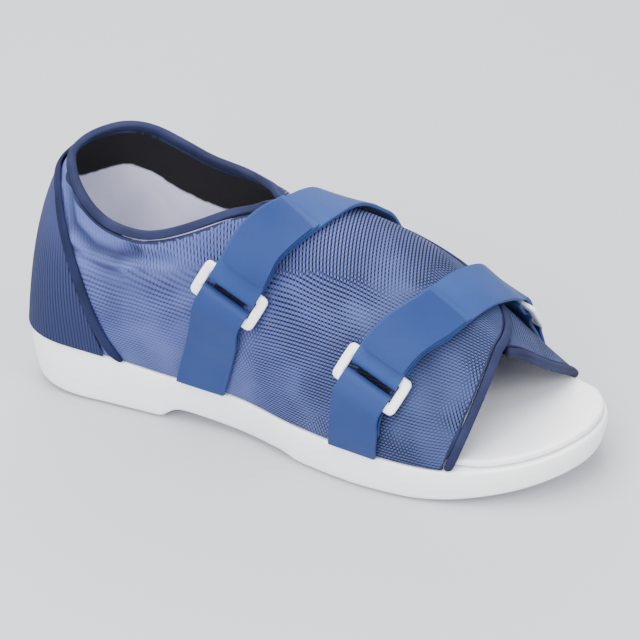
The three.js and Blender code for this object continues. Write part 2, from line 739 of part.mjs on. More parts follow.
function columnEnds(side) {
  const ends = [];
  for (let i = 0; i <= SEAM_COLUMNS; i += 1) {
    const place = 0.5 * (i / SEAM_COLUMNS) ** SEAM_CROWDING;
    const foot = side < 0 ? seamTable.nearFoot(place) : seamTable.farFoot(place);
    const last = i === SEAM_COLUMNS;
    const top = last ? throatTrim : seamTable.top(place);
    const way = last ? 1 : seamTable.way(place);
    ends.push({ foot: walkOf(foot), top: walkOf(top), way, seam: 1 - i / SEAM_COLUMNS });
  }
  const lastFoot = ends[SEAM_COLUMNS].foot;
  for (let i = 1; i <= COLLAR_COLUMNS; i += 1) {
    const share = (i / COLLAR_COLUMNS) ** COLLAR_CROWDING;
    const foot = lastFoot * (1 - share);
    const top = walkOf(throatTrim) * (1 - share);
    const cut = collarWay(shareOf(top), side);
    ends.push({ foot, top, way: side < 0 ? cut : 2 - cut, seam: 0 });
  }
  return ends;
}

// Foot share of a column at a height between its two ends
function columnShare(end, side, up) {
  const bow = (side < 0 ? NEAR_BOW_SHARE : FAR_BOW_SHARE) * smooth(1 - BOW_FADE, 1, end.seam);
  return shareOf(mix(end.foot, end.top, up)) + bow * 4 * up * (1 - up);
}

// One column of skin points: place on the skin for each row
function columnPlaces(end, side) {
  return Array.from({ length: SKIN_ROWS + 1 }, (_, j) => {
    const up = j / SKIN_ROWS;
    const start = side < 0 ? 0 : 2;
    return { walk: walkOf(columnShare(end, side, up)), way: mix(start, end.way, up), up };
  });
}

// The near flap laps over the far one: its outer face rises towards the seam
const flapRise = (end, up) => (
  FLAP_STEP * smooth(0, STEP_SEAM, end.seam) * smooth(STEP_START, STEP_FULL, up));

function upperFaces() {
  const near = columnEnds(-1);
  const far = columnEnds(1);
  const outerOf = (end, side) => columnPlaces(end, side).map(({ walk, way, up }) => (
    over(walk, way, side < 0 ? flapRise(end, up) : 0)));
  const innerOf = (end, side) => columnPlaces(end, side).map(({ walk, way }) => (
    over(walk, way, -WALL)));
  const nearCount = near.length;
  const order = [
    ...near.map((end) => [end, -1]),
    ...far.slice(0, -1).reverse().map((end) => [end, 1]),
  ];
  const outer = order.map(([end, side]) => outerOf(end, side));
  const inner = order.map(([end, side]) => innerOf(end, side));
  const last = order.length - 1;
  const rows = SKIN_ROWS;
  const faces = [];
  for (let k = 0; k < last; k += 1) {
    for (let j = 0; j < rows; j += 1) {
      faces.push([outer[k][j], outer[k][j + 1], outer[k + 1][j + 1], outer[k + 1][j]]);
      faces.push([inner[k][j], inner[k + 1][j], inner[k + 1][j + 1], inner[k][j + 1]]);
    }
    faces.push([outer[k][0], outer[k + 1][0], inner[k + 1][0], inner[k][0]]);
    const nearCollar = k >= SEAM_COLUMNS && k < nearCount - 1;
    const farCollar = k >= nearCount - 1 && last - k - 1 >= SEAM_COLUMNS;
    if (nearCollar || farCollar) {
      faces.push([outer[k + 1][rows], outer[k][rows], inner[k][rows], inner[k + 1][rows]]);
    }
  }
  // the lapped seam: a riser from the far flap's face up to the near flap's edge
  for (let k = 0; k < SEAM_COLUMNS; k += 1) {
    faces.push([outer[k + 1][rows], outer[k][rows], outer[last - k][rows], outer[last - k - 1][rows]]);
  }
  // front edges of the two flaps; the near one also meets the far flap's corner
  for (let j = 0; j < rows; j += 1) {
    const corner = j === rows - 1 ? [outer[last][rows]] : [];
    faces.push([outer[0][j], inner[0][j], inner[0][j + 1], ...corner, outer[0][j + 1]]);
    faces.push([outer[last][j], outer[last][j + 1], inner[last][j + 1], inner[last][j]]);
  }
  return faces;
}
solid('upper', 'mesh', upperFaces());

// Tape: a rounded bar that follows a path of the skin. Each stop gives a place on the
// skin and the bar's lowest and highest point; from and to are its edges, measured
// sideways from the path. Round a tight bend the bar narrows to a share of the radius
const TAPE_SOFT = 0.6;
const BEND_SHARE = 0.8;
const BEND_LEAST = 0.003;
function tape(name, stops, closed, from = EDGE_CLEAR, to = TRIM) {
  const placed = stops.map((stop) => ({ ...stop, ...skin(stop.walk, stop.way) }));
  const count = placed.length;
  const sections = placed.map((stop, i) => {
    const next = closed ? (i + 1) % count : Math.min(i + 1, count - 1);
    const before = closed ? (i + count - 1) % count : Math.max(i - 1, 0);
    const along = placed[next].at.clone().sub(placed[before].at);
    const outwards = along.clone().cross(stop.normal).normalize();
    const bend = placed[next].at.clone().add(placed[before].at).addScaledVector(stop.at, -2);
    const radius = along.lengthSq() / 4 / Math.max(bend.dot(outwards), BEND_LEAST);
    const edge = closed ? Math.min(to, radius * BEND_SHARE) : to;
    const corners = [
      [from, stop.low], [from, stop.high - TAPE_SOFT], [from + TAPE_SOFT, stop.high],
      [edge - TAPE_SOFT, stop.high], [edge, stop.high - TAPE_SOFT], [edge, stop.low],
    ];
    const section = corners.map(([aside, height]) => stop.at.clone()
      .addScaledVector(outwards, aside)
      .addScaledVector(stop.normal, height));
    const foot = stop.way === 0 || stop.way === 2;
    return foot ? section.map((p) => settle(p, along)) : section;
  });
  solid(name, 'tape', sweep(sections, closed));
}

// A point slid along a direction until it is level with the foot of the wall
function settle(p, along) {
  const level = topLine(p.x) + GAP;
  return p.addScaledVector(along, (level - p.z) / along.z);
}

// Collar tape: closed loop along the trimmed top edge
const nearEnds = columnEnds(-1);
const farEnds = columnEnds(1);
const topPlace = (end) => ({ walk: end.top, way: end.way });
const collarStops = [
  ...nearEnds.slice(SEAM_COLUMNS).map(topPlace),
  ...farEnds.slice(SEAM_COLUMNS + 1, -1).reverse().map(topPlace),
].map((place) => ({ ...place, low: -WALL - TAPE_PROUD, high: TAPE_PROUD }));
tape('collar_tape', collarStops, true);

// Flap tape: up the near flap's free edge and back along the lapped seam
const flapEdge = columnPlaces(nearEnds[0], -1).map((place) => ({
  ...place,
  low: mix(-WALL - TAPE_PROUD, LAP_CLEAR, smooth(LAP_START, LAP_FULL, place.up)),
  high: flapRise(nearEnds[0], place.up) + TAPE_PROUD,
}));
const seamEdge = nearEnds.slice(1, SEAM_COLUMNS - 1).map((end) => ({
  ...topPlace(end),
  low: LAP_CLEAR,
  high: flapRise(end, 1) + TAPE_PROUD,
}));
tape('flap_tape', [...flapEdge, ...seamEdge], false);

// Far toe tape: up the far flap's free edge to the near flap's tape
const farPlaces = columnPlaces(farEnds[0], 1);
const farTop = farPlaces[SKIN_ROWS];
const farLength = lineLength(farEnds[0].foot) * (2 - farTop.way);
const farStop = 1 - (TRIM + 2 * LAP_CLEAR) / farLength;
const farEdge = [
  ...farPlaces.filter((place, j) => j !== 1 && place.up < farStop - 0.5 / SKIN_ROWS),
  {
    walk: walkOf(columnShare(farEnds[0], 1, farStop)),
    way: mix(2, farTop.way, farStop),
  },
].map((place) => ({ ...place, low: -WALL - TAPE_PROUD, high: TAPE_PROUD })).reverse();
tape('far_toe_tape', farEdge, false);

// Heel counter: a panel on the wall below its band, from a foot share round to the same
// share on the other side
const counterWay = curve(COUNTER, 'way', (row) => walkOf(row.at));
const sideWay = (walk, way) => (walk < 0 ? way : 2 - way);
const counterSkin = (walk) => skin(walk, sideWay(walk, counterWay(walk)));
function counterTop(walk) {
  const along = counterSkin(walk + SKIN_STEP).at.sub(counterSkin(walk - SKIN_STEP).at).normalize();
  const way = counterWay(walk);
  const above = wallPoint(walk, way + SKIN_STEP);
  const upwards = above.sub(wallPoint(walk, way - SKIN_STEP)).normalize();
  const across = along.clone().cross(upwards).length();
  return way - (BAND_HALF + 2 * GAP) / (across * lineLength(walk));
}
const evenly = (count, end) => (
  Array.from({ length: count + 1 }, (_, i) => (2 * i / count - 1) * end));
const counterGrid = (height) => evenly(COUNTER_COLUMNS, walkOf(COUNTER_END_SHARE)).map((walk) => {
  const top = counterTop(walk);
  return Array.from({ length: COUNTER_ROWS + 1 }, (_, j) => {
    const way = top * j / COUNTER_ROWS;
    return over(walk, sideWay(walk, way), height);
  });
});
const counterBase = GAP + COUNTER_SAG;
const counterFace = counterBase + COUNTER_THICK;
solid('heel_counter', 'counter', sheet(counterGrid(counterFace), counterGrid(counterBase)));

// Band along the counter's top line
const bandStops = evenly(BAND_STEPS, walkOf(COUNTER[COUNTER.length - 1].at)).map((walk) => (
  { walk, way: sideWay(walk, counterWay(walk)), low: counterBase, high: counterBase + BAND_THICK }));
tape('counter_band', bandStops, false, -BAND_HALF, BAND_HALF);

// How far the near flap's step lifts what lies over it; past the seam the lift fades
function lapRise(share, way) {
  const rows = nearEnds.slice(0, SEAM_COLUMNS + 1).map((end) => {
    const up = Math.min(way / end.way, 1);
    const fade = 1 - smooth(LAP_HOLD, LAP_HOLD + LAP_FADE, way - end.way);
    return { at: -columnShare(end, -1, up), rise: flapRise(end, up) * fade };
  });
  return steps(rows, 'rise')(-share);
}

// A closure's own frame at a way of its line: a stiff band lies flat across it, raised
// until it clears the lapped wall over the band's whole width
const ACROSS_PLACES = [-1, -0.5, 0, 0.5, 1];
function closureFrame(line, way, tilt) {
  const step = SKIN_STEP;
  const from = clamp(way, step, 2 - step);
  const place = (share, w) => skin(walkOf(share), w).at;
  const share = line(from);
  const middle = place(line(way), way);
  const along = place(line(from + step), from + step).sub(place(line(from - step), from - step));
  const first = skin(walkOf(share), from).normal;
  const aside = along.clone().cross(first).normalize();
  const perShare = place(share + step, from).sub(place(share - step, from)).divideScalar(2 * step);
  const perWay = place(share, from + step).sub(place(share, from - step)).divideScalar(2 * step);
  const ss = perShare.dot(perShare);
  const sw = perShare.dot(perWay);
  const ww = perWay.dot(perWay);
  const sa = perShare.dot(aside);
  const wa = perWay.dot(aside);
  const scale = STRAP_WIDTH / 2 / (ss * ww - sw * sw);
  const covered = ACROSS_PLACES.map((p) => {
    const shareThere = line(way) + p * (sa * ww - wa * sw) * scale;
    const wayThere = clamp(way + p * (wa * ss - sa * sw) * scale, 0, 2);
    const there = skin(walkOf(shareThere), wayThere);
    const lift = lapRise(shareThere, wayThere);
    return { normal: there.normal, top: there.at.addScaledVector(there.normal, lift) };
  });
  const normal = point(0, 0, 0);
  for (const row of covered) normal.add(row.normal);
  normal.applyAxisAngle(along.normalize(), -tilt * Math.PI / 180).normalize();
  const across = along.clone().cross(normal).normalize();
  const base = Math.max(...covered.map((row) => row.top.sub(middle).dot(normal)));
  return { middle, normal, across, along: normal.clone().cross(across), base };
}

// The same frames at even steps along a closure, evened out so that a band bends softly
function closureFrames(line, tilt, wayAt, end) {
  const raw = Array.from({ length: FRAME_STEPS + 1 }, (_, i) => {
    const way = wayAt(end * i / FRAME_STEPS);
    return closureFrame(line, way, tilt(way));
  });
  const around = (list, i) => [-1, 0, 1].map((k) => list[clamp(i + k, 0, FRAME_STEPS)]);
  const peaks = raw.map((_, i) => Math.max(...around(raw, i).map((frame) => frame.base)));
  return raw.map((frame, i) => {
    const normal = point(0, 0, 0);
    for (const there of around(raw, i)) normal.add(there.normal);
    normal.normalize();
    const across = frame.along.clone().cross(normal).normalize();
    const base = around(peaks, i).reduce((sum, peak) => sum + peak, 0) / 3;
    return { middle: frame.middle, normal, across, along: normal.clone().cross(across), base };
  });
}

// The frame between two of those
function frameBetween(frames, share) {
  const place = clamp(share, 0, 1) * FRAME_STEPS;
  const i = Math.min(Math.floor(place), FRAME_STEPS - 1);
  const [first, second] = [frames[i], frames[i + 1]];
  const blend = (key) => first[key].clone().lerp(second[key], place - i);
  return {
    middle: blend('middle'),
    normal: blend('normal').normalize(),
    across: blend('across').normalize(),
    along: blend('along').normalize(),
    base: mix(first.base, second.base, place - i),
  };
}

// Ribbon along a closure: each stop gives a distance along the line, the height of its
// middle there and its thickness, which stands square to the stops' own path
const RIBBON_PLACES = [-1, 0, 1];
function ribbon(name, tone, at, width, stops, aside = 0) {
  const last = stops.length - 1;
  const sections = stops.map((stop, i) => {
    const before = stops[Math.max(i - 1, 0)];
    const after = stops[Math.min(i + 1, last)];
    const run = after.along - before.along;
    const rise = i === 0 || i === last ? 0 : after.height - before.height;
    const half = stop.thick / 2 / Math.hypot(run, rise);
    const layer = (way) => RIBBON_PLACES.map((p) => {
      const along = stop.along - way * rise * half;
      return at(along, aside + p * width / 2, stop.height + way * run * half);
    });
    return [...layer(-1), ...layer(1).reverse()];
  });
  solid(name, tone, sweep(sections, false));
}

// Fold round a ring's bar: from the under layer to the layer over the ring. Side is 1
// where the bar lies further along than the fold, -1 where it lies before it
const FOLD_STEPS = 6;
function fold(middle, side, low, high) {
  const radius = (high - low) / 2;
  const centre = middle + side * (RING_HEIGHT / 2 - RING_BAR + FOLD_INSET);
  return Array.from({ length: FOLD_STEPS + 1 }, (_, i) => {
    const angle = Math.PI * i / FOLD_STEPS;
    return {
      along: centre - side * radius * Math.sin(angle),
      height: low + radius * (1 - Math.cos(angle)),
      thick: STRAP_THICK,
    };
  });
}

for (const closure of CLOSURES) {
  const line = curve(closure.line, 'foot', (row) => row.way);
  const arch = curve(closure.arch, 'height');
  const total = [0];
  const COUNT = 200;
  for (let i = 0; i < COUNT; i += 1) {
    const a = skin(walkOf(line(2 * i / COUNT)), 2 * i / COUNT).at;
    const b = skin(walkOf(line(2 * (i + 1) / COUNT)), 2 * (i + 1) / COUNT).at;
    total.push(total[i] + a.distanceTo(b));
  }
  const lengths = total.map((length, i) => ({ at: length, way: 2 * i / COUNT }));
  const ways = lengths.map((row) => ({ at: row.way, length: row.at }));
  const wayAt = steps(lengths, 'way');
  const lengthAt = steps(ways, 'length');
  const end = total[COUNT];
  const near = lengthAt(closure.nearRing);
  const far = lengthAt(closure.farRing);
  const frames = closureFrames(line, curve(closure.arch, 'tilt'), wayAt, end);
  const frameAt = (along) => frameBetween(frames, along / end);
  const put = (frame, ahead, aside, height) => frame.middle.clone()
    .addScaledVector(frame.along, ahead)
    .addScaledVector(frame.across, aside)
    .addScaledVector(frame.normal, frame.base + height);
  // a ring's own plane clears the wall under both its bars
  const ringFrame = (middle, turn) => {
    const frame = frameAt(middle);
    const ends = [-1, -0.5, 0.5, 1].map((p) => {
      const there = frameAt(middle + p * RING_HEIGHT / 2);
      const top = there.middle.addScaledVector(there.normal, there.base);
      return top.sub(frame.middle).dot(frame.normal);
    });
    frame.base = Math.max(frame.base, ...ends);
    frame.along.applyAxisAngle(frame.normal, turn * Math.PI / 180);
    frame.across.applyAxisAngle(frame.normal, turn * Math.PI / 180);
    return frame;
  };
  const nearFrame = ringFrame(near, closure.nearTurn);
  const farFrame = ringFrame(far, 0);
  // near a ring everything lies in the ring's own plane, further away it follows the wall
  const at = (along, aside, height) => {
    const isNear = Math.abs(along - near) < Math.abs(along - far);
    const [middle, frame] = isNear ? [near, nearFrame] : [far, farFrame];
    const strapEase = isNear ? STRAP_EASE : FAR_EASE;
    const ease = isNear === along > middle ? strapEase : ANCHOR_EASE;
    const hold = RING_HEIGHT / 2 + RING_HOLD;
    const free = smooth(hold, hold + ease, Math.abs(along - middle));
    const stiff = put(frame, along - middle, aside, height);
    if (free === 0) return stiff;
    const own = frameAt(along);
    stiff.lerp(put(own, 0, aside, height), free);
    return along === 0 || along === end ? settle(stiff, own.along) : stiff;
  };
  const flat = (along, height, thick = STRAP_THICK) => ({ along, height, thick });
  const low = LAYER_LOW;
  const high = LAYER_HIGH;
  const bar = RING_HEIGHT / 2 - RING_BAR / 2;

  // anchors: up from the sole over a ring's lower bar and back beneath themselves
  const rest = low + STRAP_THICK + GAP;
  const sewn = SEWN_CLEAR + STRAP_THICK / 2;
  const anchor = (name, foot, middle, side, lift) => {
    const top = middle - side * (RING_HEIGHT / 2 + FOLD_LEAD);
    const hem = top - side * ANCHOR_RETURN;
    const outer = [];
    for (let i = 0; i <= ANCHOR_STEPS; i += 1) {
      const along = mix(foot, top, i / ANCHOR_STEPS);
      const left = Math.abs(along - top);
      const layered = mix(sewn, rest, 1 - smooth(1, 1 + HEM_EASE, left - ANCHOR_RETURN));
      const folded = high + lift - FOLD_DIP;
      outer.push(flat(along, mix(folded, layered, smooth(0, ANCHOR_SETTLE, left))));
    }
    ribbon(name, 'strap', at, STRAP_WIDTH, [
      ...outer,
      ...fold(middle, -side, low + lift, high + lift).reverse(),
      flat(top, low + lift),
      flat(mix(top, hem, 0.5), low + lift / 2),
      flat(hem, low),
    ]);
  };
  const lift = FAR_RING_LIFT;
  anchor(`${closure.name}_near_anchor`, 0, near, 1, 0);
  anchor(`${closure.name}_far_anchor`, end, far, -1, lift);

  // strap: from beneath its own return at the far ring, over the instep, through the
  // near ring and back up under the pad
  const nearEnd = lengthAt(closure.padHigh) + PAD_HEM;
  const span = [];
  const first = far - RING_HEIGHT / 2;
  const last = near + RING_HEIGHT / 2 + FOLD_LEAD;
  for (let i = 0; i <= SPAN_STEPS; i += 1) {
    const along = mix(first, last, i / SPAN_STEPS);
    const joined = smooth(first - FAR_JOIN, first, along);
    span.push(flat(along, mix(arch(wayAt(along)), high + lift, joined)));
  }
  const backStart = near + RING_HEIGHT / 2 + BACK_START;
  const backHeight = (along) => {
    const settled = arch(wayAt(along)) + STRAP_THICK + GAP;
    const lifted = high - low - STRAP_THICK - GAP;
    return settled + lifted * (1 - smooth(backStart, nearEnd, along));
  };
  const back = [];
  for (let i = 0; i <= BACK_STEPS; i += 1) {
    const along = mix(backStart, nearEnd, i / BACK_STEPS);
    back.push(flat(along, backHeight(along)));
  }
  ribbon(`${closure.name}_strap`, 'strap', at, STRAP_WIDTH, [
    flat(far - bar - FAR_RETURN, low + lift),
    flat(far - bar, low + lift),
    ...fold(far, -1, low + lift, high + lift),
    ...span,
    ...fold(near, 1, low, high),
    ...back,
  ]);

  // pad: on the strap's free end, thinner towards the instep
  const pad = [];
  for (let i = 0; i <= PAD_STEPS; i += 1) {
    const along = mix(lengthAt(closure.padLow), lengthAt(closure.padHigh), i / PAD_STEPS);
    const thick = mix(PAD_THICK, PAD_THIN, smooth(0, 1, i / PAD_STEPS));
    const seat = backHeight(along) + STRAP_THICK / 2 + GAP;
    pad.push(flat(along, seat + thick / 2, thick));
  }
  ribbon(`${closure.name}_pad`, 'strap', at, PAD_WIDTH, pad, PAD_ASIDE);

  // rings: flat rounded frames that follow the wall
  const ring = (name, middle, base) => {
    const loop = (halfLength, halfHeight, corner) => {
      const points = [];
      const corners = [[1, 1, 0], [-1, 1, 1], [-1, -1, 2], [1, -1, 3]];
      for (const [sx, sy, quarter] of corners) {
        for (let i = 0; i <= 3; i += 1) {
          const angle = Math.PI / 2 * (quarter + i / 3);
          points.push([
            sx * (halfLength - corner) + corner * Math.cos(angle),
            sy * (halfHeight - corner) + corner * Math.sin(angle),
          ]);
        }
      }
      return points;
    };
    const hole = [RING_LENGTH / 2 - RING_END, RING_HEIGHT / 2 - RING_BAR];
    const outside = loop(RING_LENGTH / 2, RING_HEIGHT / 2, RING_CORNER);
    const inside = loop(...hole, RING_HOLE_CORNER);
    const frame = middle === near ? nearFrame : farFrame;
    const level = (points, height) => points.map(([u, v]) => put(frame, v, u, base + height));
    const shy = (points, inset) => (
      points.map(([u, v]) => [u - Math.sign(u) * inset, v - Math.sign(v) * inset]));
    const rings = [
      level(outside, RING_SOFT),
      level(outside, RING_THICK - RING_SOFT),
      level(shy(outside, RING_SOFT), RING_THICK),
      level(shy(inside, -RING_SOFT), RING_THICK),
      level(inside, RING_THICK - RING_SOFT),
      level(inside, RING_SOFT),
      level(shy(inside, -RING_SOFT), 0),
      level(shy(outside, RING_SOFT), 0),
    ];
    const faces = rings.flatMap((lower, i) => band(lower, rings[(i + 1) % rings.length]));
    solid(name, 'ring', faces);
  };
  ring(`${closure.name}_near_ring`, near, RING_LOW);
  ring(`${closure.name}_far_ring`, far, RING_LOW + lift);
}

export default shoe;
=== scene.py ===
# %% [markdown]
# # A post operative shoe, dressed for its portrait
#
# The solid model gives every piece its real size and place. This lesson gives those pieces their
# looks: ribbed cloth, woven mesh, brushed straps, glossy rings and a soft white sole.
# Everything is in metres. +X runs from heel to toe, +Y to the inner side of the foot, +Z up.

import math

import bmesh
import bpy
from mathutils import Matrix, Vector
from mathutils.bvhtree import BVHTree
from mathutils.kdtree import KDTree


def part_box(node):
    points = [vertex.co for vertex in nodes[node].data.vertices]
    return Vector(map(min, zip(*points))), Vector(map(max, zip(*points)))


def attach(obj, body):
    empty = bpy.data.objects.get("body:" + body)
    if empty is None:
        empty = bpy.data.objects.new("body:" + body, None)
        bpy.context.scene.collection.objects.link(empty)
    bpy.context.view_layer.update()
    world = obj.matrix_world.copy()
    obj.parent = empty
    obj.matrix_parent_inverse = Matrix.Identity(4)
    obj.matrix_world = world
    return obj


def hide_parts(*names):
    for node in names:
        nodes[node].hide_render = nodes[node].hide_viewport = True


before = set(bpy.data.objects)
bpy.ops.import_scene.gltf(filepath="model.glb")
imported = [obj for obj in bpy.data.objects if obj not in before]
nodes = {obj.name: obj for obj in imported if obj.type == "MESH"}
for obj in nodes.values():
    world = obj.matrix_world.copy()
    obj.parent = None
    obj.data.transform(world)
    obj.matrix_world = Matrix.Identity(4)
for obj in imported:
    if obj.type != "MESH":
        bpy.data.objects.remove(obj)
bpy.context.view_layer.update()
print("pieces in the frame:", len(nodes))

# %% [markdown]
# ## Camera, floor and light
#
# The camera comes first, because every later choice is judged through it. It stands at the
# outer side of the shoe, in front of its middle and well above it, and it is rolled by a
# degree and a half, as a hand-held view is. A long lens keeps the shoe's sides almost parallel.
# The view is shifted a little instead of turned, which leaves the angle to the shoe alone.

# %% Place the camera
CAMERA_AT = Vector((0.58234, -1.05058, 0.70712))
TARGET = Vector((0.092, 0.0, 0.030))
ROLL = math.radians(-1.42)
SENSOR = 36.0
LENS = 163.9
PICTURE_SIDE = 640
SHIFT_RIGHT = -4.43
SHIFT_UP = 39.72
SEE_AS_FAR_AS = 20


def make_camera():
    data = bpy.data.cameras.new("camera")
    data.lens = LENS
    data.sensor_width = SENSOR
    data.sensor_fit = "HORIZONTAL"
    data.shift_x = SHIFT_RIGHT / PICTURE_SIDE
    data.shift_y = SHIFT_UP / PICTURE_SIDE
    data.clip_end = SEE_AS_FAR_AS
    camera = bpy.data.objects.new("camera", data)
    look = (TARGET - CAMERA_AT).to_track_quat("-Z", "Y").to_matrix().to_4x4()
    camera.matrix_world = Matrix.Translation(CAMERA_AT) @ look @ Matrix.Rotation(ROLL, 4, "Z")
    bpy.context.scene.collection.objects.link(camera)
    bpy.context.scene.camera = camera


make_camera()
print("camera distance", round((TARGET - CAMERA_AT).length, 3), "m")

# %% [markdown]
# The floor is one large pale sheet. It could be a curved backdrop, but a plain floor shows the
# soft shadow under the sole just as well.

# %% Lay the floor
FLOOR_REACH = 4
FLOOR_GREY = (0.50, 0.51, 0.53, 1)
FLOOR_ROUGHNESS = 0.75


def make_floor():
    mesh = bpy.data.meshes.new("floor")
    bm = bmesh.new()
    bmesh.ops.create_grid(bm, x_segments=1, y_segments=1, size=FLOOR_REACH)
    bm.to_mesh(mesh)
    bm.free()
    floor = bpy.data.objects.new("floor", mesh)
    bpy.context.scene.collection.objects.link(floor)
    material = bpy.data.materials.new("pale_floor")
    material.use_nodes = True
    shader = material.node_tree.nodes["Principled BSDF"]
    shader.inputs["Base Color"].default_value = FLOOR_GREY
    shader.inputs["Roughness"].default_value = FLOOR_ROUGHNESS
    mesh.materials.append(material)


make_floor()
print("floor laid")

# %% [markdown]
# Four square lamps light the shoe: a wide one above, a cooler one from the camera's side, a
# weaker one in front of the toe, and one from behind, which draws the rim of the collar and
# the straps. Large lamps throw soft shadows, as white cloth before a window does. The pale
# world fills what they leave dark.

# %% Hang the lamps
LAMP_AIM = Vector((0.08, 0, 0.05))
LAMPS = [
    {"name": "sky_lamp", "at": (-0.1, -0.2, 1.5), "side": 1.6, "watts": 46, "tint": (1.0, 0.99, 0.98)},
    {"name": "key_lamp", "at": (0.1, -1.5, 0.9), "side": 1.1, "watts": 33, "tint": (0.97, 0.985, 1.0)},
    {"name": "toe_lamp", "at": (1.4, -0.3, 0.9), "side": 0.9, "watts": 14, "tint": (1.0, 1.0, 1.0)},
    {"name": "rim_lamp", "at": (-0.6, 1.1, 0.9), "side": 0.8, "watts": 12, "tint": (1.0, 1.0, 1.0)},
]
WORLD_TINT = (0.9, 0.92, 0.96, 1)
WORLD_STRENGTH = 0.9


def hang_lamp(lamp):
    data = bpy.data.lights.new(lamp["name"], "AREA")
    data.shape = "SQUARE"
    data.size = lamp["side"]
    data.energy = lamp["watts"]
    data.color = lamp["tint"]
    hung = bpy.data.objects.new(lamp["name"], data)
    hung.location = lamp["at"]
    hung.rotation_euler = (LAMP_AIM - Vector(lamp["at"])).to_track_quat("-Z", "Y").to_euler()
    bpy.context.scene.collection.objects.link(hung)


for lamp in LAMPS:
    hang_lamp(lamp)
world = bpy.data.worlds.new("studio")
bpy.context.scene.world = world
world.use_nodes = True
world.node_tree.nodes["Background"].inputs["Color"].default_value = WORLD_TINT
world.node_tree.nodes["Background"].inputs["Strength"].default_value = WORLD_STRENGTH
print("lamps:", [lamp["name"] for lamp in LAMPS])

# %% [markdown]
# ## Words for building materials
#
# Each finish is a small graph of nodes. It could be wired by hand in the shader editor, but
# these helpers keep the graphs short to read: `Finish` holds a material, adds nodes with their
# inputs filled in, and joins the result to the shader. A colour or value that is the same all
# over sits directly on the shader's own socket. Patterns start from Object coordinates, which
# are the shoe's own metres, so a rib pitch is a real size.

# %% A helper for node graphs


class Finish:
    def __init__(self, name, colour, roughness, **sockets):
        self.material = bpy.data.materials.new(name)
        self.material.use_nodes = True
        self.tree = self.material.node_tree
        self.shader = self.tree.nodes["Principled BSDF"]
        self.shader.inputs["Base Color"].default_value = (*colour, 1)
        self.shader.inputs["Roughness"].default_value = roughness
        for socket, value in sockets.items():
            self.shader.inputs[socket.replace("_", " ")].default_value = value
        self.place = self.tree.nodes.new("ShaderNodeTexCoord").outputs["Object"]

    def link(self, value, socket):
        if isinstance(value, bpy.types.NodeSocket):
            self.tree.links.new(value, socket)
        else:
            socket.default_value = value

    def math(self, operation, *values, clamp=False):
        node = self.tree.nodes.new("ShaderNodeMath")
        node.operation = operation
        node.use_clamp = clamp
        for socket, value in zip(node.inputs, values):
            self.link(value, socket)
        return node.outputs[0]

    def split(self, vector):
        node = self.tree.nodes.new("ShaderNodeSeparateXYZ")
        self.tree.links.new(vector, node.inputs[0])
        return node.outputs

    def attribute(self, name):
        node = self.tree.nodes.new("ShaderNodeAttribute")
        node.attribute_name = name
        return node.outputs["Fac"]

    def noise(self, scale, detail, rough=0.5):
        node = self.tree.nodes.new("ShaderNodeTexNoise")
        self.tree.links.new(self.place, node.inputs["Vector"])
        node.inputs["Scale"].default_value = scale
        node.inputs["Detail"].default_value = detail
        node.inputs["Roughness"].default_value = rough
        return node.outputs["Fac"]

    def ramp(self, value, low, high, start=0.0, end=1.0):
        node = self.tree.nodes.new("ShaderNodeMapRange")
        node.interpolation_type = "SMOOTHSTEP"
        self.link(value, node.inputs["Value"])
        for socket, number in zip(("From Min", "From Max", "To Min", "To Max"), (low, high, start, end)):
            self.link(number, node.inputs[socket])
        return node.outputs["Result"]

    def mix(self, share, first, second):
        node = self.tree.nodes.new("ShaderNodeMix")
        node.data_type = "RGBA"
        self.link(share, node.inputs["Factor"])
        for socket, value in ((node.inputs["A"], first), (node.inputs["B"], second)):
            self.link(value if isinstance(value, bpy.types.NodeSocket) else (*value, 1), socket)
        return node.outputs["Result"]

    def ribs(self, value, pitch):
        turned = self.math("MULTIPLY", value, 2 * math.pi / pitch)
        return self.math("MULTIPLY_ADD", self.math("SINE", turned), 0.5, 0.5)

    def bump(self, height, distance, strength, under=None):
        node = self.tree.nodes.new("ShaderNodeBump")
        node.inputs["Strength"].default_value = strength
        node.inputs["Distance"].default_value = distance
        self.link(height, node.inputs["Height"])
        if under is not None:
            self.tree.links.new(under, node.inputs["Normal"])
        return node.outputs["Normal"]

    def wear(self, **sockets):
        for socket, value in sockets.items():
            self.link(value, self.shader.inputs[socket.replace("_", " ")])
        return self.material


print("words for finishes:", [word for word in vars(Finish) if not word.startswith("_")])

# %% [markdown]
# Colours are chosen as a screen shows them, from 0 to 255. The shader wants linear light, so
# one small function turns the first into the second.

# %% Turn screen colours into light


def srgb(red, green, blue):
    share = [c / 255 for c in (red, green, blue)]
    return tuple(c / 12.92 if c <= 0.04045 else ((c + 0.055) / 1.055) ** 2.4 for c in share)


print("a mid blue in linear values:", [round(c, 3) for c in srgb(120, 134, 180)])

# %% [markdown]
# ## Smooth copies of the pieces
#
# The solid model is made of flat triangles. For cloth and moulded foam each piece is copied,
# its loose triangles are merged, pairs of triangles are joined back into the four-sided faces
# that they came from, and a Subdivision Surface rounds them. Smooth shading alone would leave
# the outline in corners. Edges that bend sharply keep a crease, and the strongest creases are
# also shaded as hard edges, so a cut strap has a crisp side.

# %% Copy, merge and round
MERGE_WITHIN = 2e-6
FLAT_ENOUGH = math.radians(50)
SQUARE_ENOUGH = math.radians(65)
ROUND_LEVELS = 2
HARD_CREASE = 0.9


